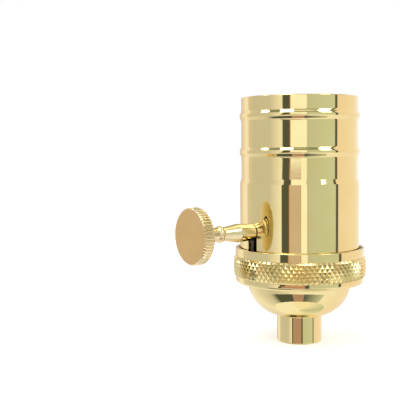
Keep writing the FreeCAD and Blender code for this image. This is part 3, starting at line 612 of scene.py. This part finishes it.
# %% [markdown]
# ## Coupling ring
#
# The ring is a turned nut with a plain lip and band. Its knurl is a grid round the ring whose
# points take turns to stand out and lie back. Joining the low points across each face makes the
# grooves run slantwise, as a knurling wheel cuts them, and leaves a four-sided point between them.

# %% Coupling ring
def ring_section():
    """Give the ring's closed section, with a channel where the knurl stands."""
    return rounded([
        (DOME_R + CAP_GAP, RING_LOW, 0.15),
        (BAND_R, RING_LOW, 1.0),
        (BAND_R, KNURL_LOW, 0.08),
        (CHANNEL_R, KNURL_LOW, 0),
        (CHANNEL_R, KNURL_TOP, 0),
        (LIP_R, KNURL_TOP, 0.08),
        (LIP_R, RING_TOP, 0.22),
        (FOOT_R + LIP_GAP, RING_TOP, 0.12),
        (FOOT_R + LIP_GAP, RING_TOP - LIP_DEEP, 0.1),
        (FOOT_R + FOOT_GAP, RING_TOP - LIP_DEEP, 0),
        (FOOT_R + FOOT_GAP, RING_LOW + RING_FLOOR, 0),
        (DOME_R + CAP_GAP, RING_LOW + RING_FLOOR, 0.1),
    ], parts=5)


ring = turned("ring_turned", ring_section(), steps=192)
finish_piece(ring, 30)

# %% Knurl
KNURL_ROUND = 160
KNURL_ROWS = 5
KNURL_DEEP = 0.5
KNURL_BARREL = 0.18
KNURL_UNEVEN = 0.045
ROWS_LOW, ROWS_TOP = 20.0, 25.0
CHAMFER_IN, CHANNEL_IN = 0.984, 0.965


def select_points(piece, wanted):
    """Select in edit mode the points whose place, in millimetres, is wanted."""
    bpy.ops.mesh.select_all(action="DESELECT")
    bpy.ops.object.mode_set(mode="OBJECT")
    chosen = 0
    for point in piece.data.vertices:
        point.select = wanted(*(number / MM for number in point.co))
        chosen += point.select
    bpy.ops.object.mode_set(mode="EDIT")
    return chosen


def grid_place(x, y, z):
    """Give the column and the row of a point of the knurl."""
    column = round(math.atan2(y, x) / TURN * KNURL_ROUND)
    row = round((z - ROWS_LOW) / (ROWS_TOP - ROWS_LOW) * KNURL_ROWS)
    return column, row


def is_high(x, y, z):
    """Say whether a point of the knurl stands out."""
    return sum(grid_place(x, y, z)) % 2 == 1


def is_low(x, y, z):
    """Say whether a point of the knurl lies back."""
    return not is_high(x, y, z)


def knurl_grid():
    """Make the plain grid of the knurl, at the depth of its grooves."""
    deselect()
    tall = ROWS_TOP - ROWS_LOW
    bpy.ops.mesh.primitive_cylinder_add(
        vertices=KNURL_ROUND, radius=(KNURL_R - KNURL_DEEP) * MM, depth=tall * MM,
        end_fill_type="NOTHING", location=(0, 0, 0))
    piece = bpy.context.object
    piece.name = "ring_knurl"
    bpy.ops.object.mode_set(mode="EDIT")
    bpy.ops.mesh.select_all(action="SELECT")
    bpy.ops.transform.translate(value=(0, 0, (ROWS_LOW + tall / 2) * MM))
    bpy.ops.mesh.select_mode(type="EDGE")
    bpy.ops.mesh.select_all(action="DESELECT")
    bpy.ops.object.mode_set(mode="OBJECT")
    for edge in piece.data.edges:
        ends = [piece.data.vertices[number].co for number in edge.vertices]
        edge.select = abs(ends[0].z - ends[1].z) > tall * MM / 2
    bpy.ops.object.mode_set(mode="EDIT")
    bpy.ops.mesh.subdivide(number_cuts=KNURL_ROWS - 1)
    bpy.ops.mesh.select_mode(type="VERT")
    return piece


# %% [markdown]
# The rows are first drawn in a little towards the ends, so that the band is slightly barrelled.
# The points are then moved a hair at random, because no knurl is perfectly even, and that makes it
# sparkle. Each end of the band runs out in a small chamfer, and on into the ring.

# %% Points and grooves
def cut_knurl(piece):
    """Give the grid its points, grooves and chamfered ends."""
    for row in range(KNURL_ROWS + 1):
        off_middle = 2 * row / KNURL_ROWS - 1
        swell = (KNURL_R - KNURL_DEEP - KNURL_BARREL * off_middle ** 2) / (KNURL_R - KNURL_DEEP)
        select_points(piece, lambda x, y, z: grid_place(x, y, z)[1] == row)
        bpy.ops.transform.resize(value=(swell, swell, 1), center_override=(0, 0, 0))
    select_points(piece, is_low)
    bpy.ops.mesh.vert_connect()
    stand_out = KNURL_R / (KNURL_R - KNURL_DEEP)
    print("high points of the knurl:", select_points(piece, is_high))
    bpy.ops.transform.resize(value=(stand_out, stand_out, 1), center_override=(0, 0, 0))
    select_points(piece, lambda x, y, z: is_high(x, y, z) and ROWS_LOW + 0.1 < z < ROWS_TOP - 0.1)
    bpy.ops.transform.vertex_random(offset=KNURL_UNEVEN * MM, seed=7)
    for here, there in ((ROWS_LOW, KNURL_LOW), (ROWS_TOP, KNURL_TOP)):
        select_points(piece, lambda x, y, z: abs(z - here) < 0.01)
        bpy.ops.mesh.extrude_region_move(TRANSFORM_OT_translate={"value": (0, 0, (there - here) * MM)})
        bpy.ops.transform.tosphere(value=1)
        bpy.ops.transform.resize(value=(CHAMFER_IN, CHAMFER_IN, 1), center_override=(0, 0, 0))
        bpy.ops.mesh.extrude_region_move()
        bpy.ops.transform.resize(value=(CHANNEL_IN, CHANNEL_IN, 1), center_override=(0, 0, 0))
    select_points(piece, lambda x, y, z: math.hypot(x, y) < CHANNEL_R)
    bpy.ops.mesh.select_mode(type="EDGE")
    bpy.ops.mesh.bridge_edge_loops()
    bpy.ops.mesh.select_mode(type="VERT")
    tidy_faces()


knurl = knurl_grid()
cut_knurl(knurl)
finish_piece(knurl, 12)

# %% [markdown]
# ## Turn knob
#
# The knob is turned in one piece: a stem that swells near the shell, a groove, a bead, and a flat
# disc. Only the disc's rim is fluted, so the disc starts as a cylinder with eight points for each
# flute, and the points of the grooves are drawn in.

# %% Knob stem
STEM_END, STEM_END_R, SWELL_OUT, SWELL_R = 17.5, 2.3, 22.6, 2.68
GROOVE_AT, STEM_BEAD, STEM_NECK_R = 27.25, 28.75, 1.95
SHAFT_HOLE_R, SHAFT_HOLE_END, CORE_R = 1.55, 24.6, 1.0
DISC_BACK, DISC_FACE, DISC_R = 35.2, 38.35, 7.85
DISC_EDGE, DISC_FRAME = 0.35, 1.5
FLUTES, FLUTE_POINTS = 52, 8
FLUTE_DEPTHS = ((2, 0.05), (3, 0.34), (4, 0.44))


def stem_section():
    """Give the stem's section, from its end at the shell out to the disc."""
    swell = rounded([
        (STEM_END, SHAFT_HOLE_R, 0),
        (STEM_END, STEM_END_R, 0.12),
        (SWELL_OUT, SWELL_R, 2.0),
        (GROOVE_AT, STEM_NECK_R, 0),
    ])[:-1]
    half, rise, neck = 0.85, 0.42, STEM_NECK_R
    disc_hold = neck + 1.2
    radius = (half ** 2 + rise ** 2) / (2 * rise)
    spread = math.degrees(math.asin(half / radius))
    bead_arc = arc(STEM_BEAD, neck + rise - radius, radius, 90 + spread, 90 - spread, 12)
    out = rounded([
        (STEM_BEAD + half, neck, 0),
        (DISC_BACK, neck, 0.5),
        (DISC_BACK, disc_hold, 0),
        (DISC_BACK + 0.2, disc_hold, 0),
        (DISC_BACK + 0.2, CORE_R, 0),
        (SHAFT_HOLE_END, CORE_R, 0),
        (SHAFT_HOLE_END, SHAFT_HOLE_R, 0),
    ])[1:]
    return swell + [(GROOVE_AT, STEM_NECK_R)] + bead_arc + out


stem = turned("knob_stem", stem_section(), steps=96, upright=False, height=KEY_Z)
finish_piece(stem, 30)

# %% Knob disc
def disc_with_flutes():
    """Make the knob's disc, with its fluted rim between two chamfers."""
    deselect()
    long = DISC_FACE - DISC_BACK - 2 * DISC_EDGE
    bpy.ops.mesh.primitive_cylinder_add(
        vertices=FLUTES * FLUTE_POINTS, radius=DISC_R * MM, depth=long * MM, location=(0, 0, 0))
    piece = bpy.context.object
    piece.name = "knob_disc"
    bpy.ops.object.mode_set(mode="EDIT")
    bpy.ops.mesh.select_all(action="SELECT")
    bpy.ops.transform.rotate(value=math.pi / 2, orient_axis="Y", center_override=(0, 0, 0))
    middle = (DISC_FACE + DISC_BACK) / 2
    bpy.ops.transform.translate(value=(-middle * MM, 0, KEY_Z * MM))
    smaller = (DISC_R - DISC_EDGE) / DISC_R
    for end, side in ((DISC_BACK + DISC_EDGE, 1), (DISC_FACE - DISC_EDGE, -1)):
        select_points(piece, lambda x, y, z: abs(x + end) < 0.01)
        bpy.ops.mesh.extrude_region_move(TRANSFORM_OT_translate={"value": (side * DISC_EDGE * MM, 0, 0)})
        bpy.ops.transform.resize(value=(1, smaller, smaller), center_override=(0, 0, KEY_Z * MM))
        bpy.ops.mesh.inset(thickness=DISC_FRAME * MM)
    for across, deep in FLUTE_DEPTHS:
        def in_flute(x, y, z):
            if math.hypot(y, z - KEY_Z) < DISC_R - 0.02:
                return False
            step = round(math.atan2(y, z - KEY_Z) / TURN * FLUTES * FLUTE_POINTS) % FLUTE_POINTS
            return min(step, FLUTE_POINTS - step) == across
        select_points(piece, in_flute)
        factor = (DISC_R - deep) / DISC_R
        bpy.ops.transform.resize(value=(1, factor, factor), center_override=(0, 0, KEY_Z * MM))
    tidy_faces()
    return piece


disc = disc_with_flutes()
finish_piece(disc, 40)

# %% [markdown]
# ## Screw shell
#
# The lamp's thread is rolled into thin brass, so inside and outside show the same round waves.
# One wave is drawn upright and wound by the Screw modifier, the ends are trimmed level with a
# bisect and drawn round again, the upper one into a plain collar, and Solidify gives the sheet its
# thickness. The foot cup is turned.

# %% Screw shell
LAMP_R, LAMP_PITCH, LAMP_DEEP = 13.25, 3.63, 0.8
THREAD_LOW, COLLAR_LOW, THREAD_TOP, FLARE = 52.0, 67.2, 68.8, 0.5
FOOT_TRIM, FOOT_RUN, FOOT_TAB, COLLAR_RUN = 0.9, 0.5, 0.3, 0.4
WAVE_PARTS, THREAD_TURNS, THREAD_STEPS = 12, 6, 96
BLOCK_TOP, SHEET = 47.0, 0.4
CUP_R, CUP_HOLE_R = 10.7, 5.8


def selected_points(piece):
    """Give the points that are selected in edit mode."""
    piece.update_from_editmode()
    return [point for point in piece.data.vertices if point.select]


def rolled_thread():
    """Make the thread's sheet with level, round ends."""
    waves = []
    start = THREAD_LOW - LAMP_PITCH
    for part in range(WAVE_PARTS + 1):
        swell = 0.5 * (1 - math.cos(TURN * part / WAVE_PARTS))
        waves.append((LAMP_R - LAMP_DEEP * swell, 0, start + LAMP_PITCH * part / WAVE_PARTS))
    piece = start_piece("lamp_thread")
    draw(waves)
    bpy.ops.object.mode_set(mode="OBJECT")
    wind = piece.modifiers.new("wind", "SCREW")
    wind.axis = "Z"
    wind.angle = TURN
    wind.screw_offset = LAMP_PITCH * MM
    wind.iterations = THREAD_TURNS
    wind.steps = THREAD_STEPS
    wind.render_steps = THREAD_STEPS
    bpy.ops.object.modifier_apply(modifier=wind.name)
    bpy.ops.object.mode_set(mode="EDIT")
    tidy_faces()
    for height, keep_above in ((THREAD_LOW + FOOT_TRIM, True), (COLLAR_LOW - FLARE - COLLAR_RUN, False)):
        bpy.ops.mesh.select_all(action="SELECT")
        bpy.ops.mesh.bisect(plane_co=(0, 0, height * MM), plane_no=(0, 0, 1), threshold=0.0001 * MM,
                            clear_inner=keep_above, clear_outer=not keep_above)
        at_the_cut = select_points(piece, lambda x, y, z: abs(z - height) < 0.002)
        print("points round the thread's end:", at_the_cut)
        way = -FOOT_RUN if keep_above else COLLAR_RUN
        bpy.ops.mesh.extrude_region_move(TRANSFORM_OT_translate={"value": (0, 0, way * MM)})
        bpy.ops.transform.tosphere(value=1, center_override=(0, 0, (height + way) * MM))
        far = LAMP_R * MM / max(math.hypot(point.co.x, point.co.y) for point in selected_points(piece))
        bpy.ops.transform.resize(value=(far, far, 1), center_override=(0, 0, 0))
        if keep_above:
            bpy.ops.mesh.extrude_region_move(TRANSFORM_OT_translate={"value": (0, 0, -FOOT_TAB * MM)})
            continue
        bpy.ops.mesh.extrude_region_move(TRANSFORM_OT_translate={"value": (0, 0, FLARE * MM)})
        wider = (LAMP_R + FLARE) / LAMP_R
        bpy.ops.transform.resize(value=(wider, wider, 1), center_override=(0, 0, 0))
        bpy.ops.mesh.extrude_region_move(
            TRANSFORM_OT_translate={"value": (0, 0, (THREAD_TOP - COLLAR_LOW) * MM)})
    tidy_faces()
    return piece


def thicken(piece, thick):
    """Give a sheet its thickness, outwards."""
    bpy.ops.object.mode_set(mode="OBJECT")
    wall = piece.modifiers.new("wall", "SOLIDIFY")
    wall.thickness = thick * MM
    wall.offset = 1
    wall.use_even_offset = True
    bpy.ops.object.modifier_apply(modifier=wall.name)
    bpy.ops.object.mode_set(mode="EDIT")


lamp_thread = rolled_thread()
thicken(lamp_thread, SHEET)
finish_piece(lamp_thread, 40)

# %% Foot cup
foot_cup = turned("lamp_foot_cup", rounded([
    (CUP_HOLE_R, BLOCK_TOP, 0),
    (CUP_R + SHEET, BLOCK_TOP, 0.5),
    (CUP_R + SHEET, THREAD_LOW - SHEET, 0.4),
    (LAMP_R + SHEET, THREAD_LOW - SHEET, 0.3),
    (LAMP_R + SHEET, THREAD_LOW + 0.1, 0),
    (LAMP_R, THREAD_LOW + 0.1, 0),
    (LAMP_R, THREAD_LOW, 0.1),
    (CUP_R, THREAD_LOW, 0.6),
    (CUP_R, BLOCK_TOP + SHEET, 0.3),
    (CUP_HOLE_R, BLOCK_TOP + SHEET, 0),
]), steps=THREAD_STEPS)
finish_piece(foot_cup, 35)

# %% [markdown]
# ## Finishes
#
# The brass is polished and lacquered, so its grain hardly shows: fine turning lines across the
# axis, and faint clouds where the polish differs. Both are node groups that the metals share.

# %% Node groups
def new_group(name, inputs, outputs):
    """Start a node group with its sockets, given as (name, kind, value)."""
    group = bpy.data.node_groups.new(name, "ShaderNodeTree")
    for label, kind, value in inputs:
        socket = group.interface.new_socket(label, in_out="INPUT", socket_type="NodeSocket" + kind)
        if value is not None:
            socket.default_value = value
    for label, kind in outputs:
        group.interface.new_socket(label, in_out="OUTPUT", socket_type="NodeSocket" + kind)
    enter = group.nodes.new("NodeGroupInput")
    leave = group.nodes.new("NodeGroupOutput")
    return group, enter, leave


def turning_lines():
    """Fine lines round a turned piece: noise that is stretched to nothing round the axis."""
    group, enter, leave = new_group(
        "turning_lines", [("Along", "Float", 0.0), ("Lines per metre", "Float", 9000.0)],
        [("Height", "Float")])
    scale = group.nodes.new("ShaderNodeMath")
    scale.operation = "MULTIPLY"
    noise = group.nodes.new("ShaderNodeTexNoise")
    noise.noise_dimensions = "1D"
    noise.inputs["Scale"].default_value = 1.0
    noise.inputs["Detail"].default_value = 3.0
    group.links.new(enter.outputs["Along"], scale.inputs[0])
    group.links.new(enter.outputs["Lines per metre"], scale.inputs[1])
    group.links.new(scale.outputs[0], noise.inputs["W"])
    group.links.new(noise.outputs[0], leave.inputs["Height"])
    return group


def polish_clouds():
    """Soft clouds of uneven polish, from 0 to 1."""
    group, enter, leave = new_group(
        "polish_clouds", [("Place", "Vector", None), ("Scale", "Float", 120.0)], [("Mask", "Float")])
    noise = group.nodes.new("ShaderNodeTexNoise")
    noise.inputs["Detail"].default_value = 4.0
    noise.inputs["Roughness"].default_value = 0.6
    ramp = group.nodes.new("ShaderNodeMapRange")
    ramp.inputs["From Min"].default_value = 0.35
    ramp.inputs["From Max"].default_value = 0.7
    group.links.new(enter.outputs["Place"], noise.inputs["Vector"])
    group.links.new(enter.outputs["Scale"], noise.inputs["Scale"])
    group.links.new(noise.outputs[0], ramp.inputs["Value"])
    group.links.new(ramp.outputs[0], leave.inputs["Mask"])
    return group


TURNING_LINES = turning_lines()
POLISH_CLOUDS = polish_clouds()
print("node groups:", TURNING_LINES.name, POLISH_CLOUDS.name)

# %% Metals
def place_group(nodes, group):
    """Put a shared group into a material."""
    node = nodes.new("ShaderNodeGroup")
    node.node_tree = group
    return node


def metal(name, colour, dull_colour, smooth, dull, axis="Z", lines=9000.0, line_depth=0.02, clouds=140.0):
    """Make a metal: two tones and two roughnesses in soft clouds, with turning lines across its axis."""
    material, nodes, links, output = plain_material(name)
    shader = nodes.new("ShaderNodeBsdfPrincipled")
    shader.inputs["Metallic"].default_value = 1.0
    place = nodes.new("ShaderNodeTexCoord")
    split = nodes.new("ShaderNodeSeparateXYZ")
    cloud = place_group(nodes, POLISH_CLOUDS)
    cloud.inputs["Scale"].default_value = clouds
    tone = nodes.new("ShaderNodeMix")
    tone.data_type = "RGBA"
    tone.inputs["A"].default_value = (*colour, 1)
    tone.inputs["B"].default_value = (*dull_colour, 1)
    rough = nodes.new("ShaderNodeMapRange")
    rough.inputs["To Min"].default_value = smooth
    rough.inputs["To Max"].default_value = dull
    line = place_group(nodes, TURNING_LINES)
    line.inputs["Lines per metre"].default_value = lines
    bump = nodes.new("ShaderNodeBump")
    bump.inputs["Strength"].default_value = 0.5
    bump.inputs["Distance"].default_value = line_depth * MM * 0.1
    links.new(place.outputs["Object"], split.inputs[0])
    links.new(place.outputs["Object"], cloud.inputs["Place"])
    links.new(cloud.outputs["Mask"], tone.inputs["Factor"])
    links.new(cloud.outputs["Mask"], rough.inputs["Value"])
    links.new(split.outputs[axis], line.inputs["Along"])
    links.new(line.outputs["Height"], bump.inputs["Height"])
    links.new(tone.outputs["Result"], shader.inputs["Base Color"])
    links.new(rough.outputs[0], shader.inputs["Roughness"])
    links.new(bump.outputs[0], shader.inputs["Normal"])
    links.new(shader.outputs[0], output.inputs["Surface"])
    return material


BRASS = (0.91, 0.78, 0.42)
BRASS_DEEP = (0.88, 0.74, 0.38)
polished = metal("polished_brass", BRASS, BRASS_DEEP, 0.025, 0.06)
knurled = metal("knurled_brass", (0.92, 0.79, 0.44), (0.84, 0.67, 0.31), 0.16, 0.26)
stem_brass = metal("stem_brass", (0.93, 0.80, 0.54), (0.89, 0.74, 0.46), 0.13, 0.22, axis="X")
disc_brass = metal(
    "disc_brass", (0.86, 0.60, 0.29), (0.82, 0.56, 0.26), 0.34, 0.42, axis="X", line_depth=0.05)
pressed = metal("pressed_brass", (0.84, 0.68, 0.34), (0.74, 0.56, 0.26), 0.22, 0.36, lines=2500.0)
bronze = metal("spring_bronze", (0.78, 0.52, 0.30), (0.66, 0.42, 0.24), 0.24, 0.36, lines=2500.0)
nickel = metal("nickel_steel", (0.72, 0.70, 0.66), (0.60, 0.58, 0.55), 0.20, 0.34)
steel = metal("shaft_steel", (0.60, 0.60, 0.60), (0.50, 0.50, 0.50), 0.26, 0.40, axis="X")

# %% [markdown]
# The liner is pressed fibre board, tan with darker flecks, and the switch body is black moulded
# plastic with a faint orange-peel skin.

# %% Fibre and moulded plastic
def flecked(name, colour, fleck_colour, smooth, dull, flecks, grain, depth, gloss=0.5):
    """Make a plain insulating material with flecks of a second colour and a fine skin."""
    material, nodes, links, output = plain_material(name)
    shader = nodes.new("ShaderNodeBsdfPrincipled")
    shader.inputs["Specular IOR Level"].default_value = gloss
    place = nodes.new("ShaderNodeTexCoord")
    cloud = place_group(nodes, POLISH_CLOUDS)
    cloud.inputs["Scale"].default_value = flecks
    tone = nodes.new("ShaderNodeMix")
    tone.data_type = "RGBA"
    tone.inputs["A"].default_value = (*colour, 1)
    tone.inputs["B"].default_value = (*fleck_colour, 1)
    rough = nodes.new("ShaderNodeMapRange")
    rough.inputs["To Min"].default_value = smooth
    rough.inputs["To Max"].default_value = dull
    skin = nodes.new("ShaderNodeTexNoise")
    skin.inputs["Scale"].default_value = grain
    skin.inputs["Detail"].default_value = 3.0
    bump = nodes.new("ShaderNodeBump")
    bump.inputs["Strength"].default_value = 0.4
    bump.inputs["Distance"].default_value = depth * MM
    links.new(place.outputs["Object"], cloud.inputs["Place"])
    links.new(place.outputs["Object"], skin.inputs["Vector"])
    links.new(cloud.outputs["Mask"], tone.inputs["Factor"])
    links.new(cloud.outputs["Mask"], rough.inputs["Value"])
    links.new(skin.outputs[0], bump.inputs["Height"])
    links.new(tone.outputs["Result"], shader.inputs["Base Color"])
    links.new(rough.outputs[0], shader.inputs["Roughness"])
    links.new(bump.outputs[0], shader.inputs["Normal"])
    links.new(shader.outputs[0], output.inputs["Surface"])
    return material


fibre = flecked("fibre_board", (0.52, 0.42, 0.29), (0.38, 0.29, 0.19), 0.75, 0.9, 900.0, 2500.0, 0.05)
black = flecked(
    "moulded_black", (0.010, 0.010, 0.011), (0.016, 0.016, 0.017), 0.40, 0.55, 500.0, 1800.0, 0.02,
    gloss=0.12)

# %% [markdown]
# The disc's flat front is left satin from its facing cut. Its rim is polished with the stem, and
# its back is satin with its colour painted paler, a painted highlight that brightens its mirror image
# in the shell, so the disc gets three materials, chosen by where its faces point.

# %% Three materials on the disc, one with a painted highlight
# The back's pale cream colour is painted light: a painted highlight, so the back looks bright where the
# shell mirrors it.
back_painted_highlight = metal("disc_back_painted_highlight", (0.95, 0.87, 0.68), (0.92, 0.83, 0.62), 0.26, 0.36, axis="X")
for finish in (stem_brass, disc_brass, back_painted_highlight):
    disc.data.materials.append(finish)
for face in disc.data.polygons:
    if abs(face.normal.x) > 0.95:
        face.material_index = 1 if face.normal.x < 0 else 2
print("satin faces on the disc:", sum(face.material_index > 0 for face in disc.data.polygons))

# %% [markdown]
# ## Putting it together
#
# Each new piece replaces the solid that it stands for and rides on that solid's body. The other
# solids keep their shape and get a finish.

# %% Pieces and what they replace
def fit(piece, material, node, body):
    """Give a piece its finish, its body and the solid that it stands for."""
    if not piece.data.materials:
        piece.data.materials.append(material)
    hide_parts(node)
    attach(piece, body)


for piece, material, node, body, slot in (
        (shell, polished, "shell", "shell", "polished_brass"),
        (cap, polished, "cap", "interior", "polished_brass"),
        (nipple_thread, pressed, "cap", "interior", "polished_brass"),
        (ring, polished, "coupling_ring", "ring", "polished_brass"),
        (knurl, knurled, "coupling_ring", "ring", "polished_brass"),
        (stem, stem_brass, "turn_knob", "knob", "knob_brass"),
        (disc, disc_brass, "turn_knob", "knob", "knob_brass"),
        (lamp_thread, pressed, "screw_shell", "interior", "pressed_brass"),
        (foot_cup, pressed, "screw_shell", "interior", "pressed_brass")):
    fit(piece, material, node, body)
    print(piece.name, "rides on", body)

# %% Finishes of the solids that stay
for node, material in (
        ("shell_liner", fibre), ("switch_base", black), ("contact_block", black), ("switch_rotor", black),
        ("hot_terminal", pressed), ("neutral_terminal", pressed), ("contact_bridge", pressed),
        ("hot_screw", pressed), ("centre_contact", bronze), ("click_spring", bronze),
        ("neutral_screw", nickel), ("body_screws", nickel), ("body_nuts", nickel), ("key_shaft", steel)):
    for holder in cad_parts[node].material_slots:
        holder.material = material
    print(node, "gets", material.name)
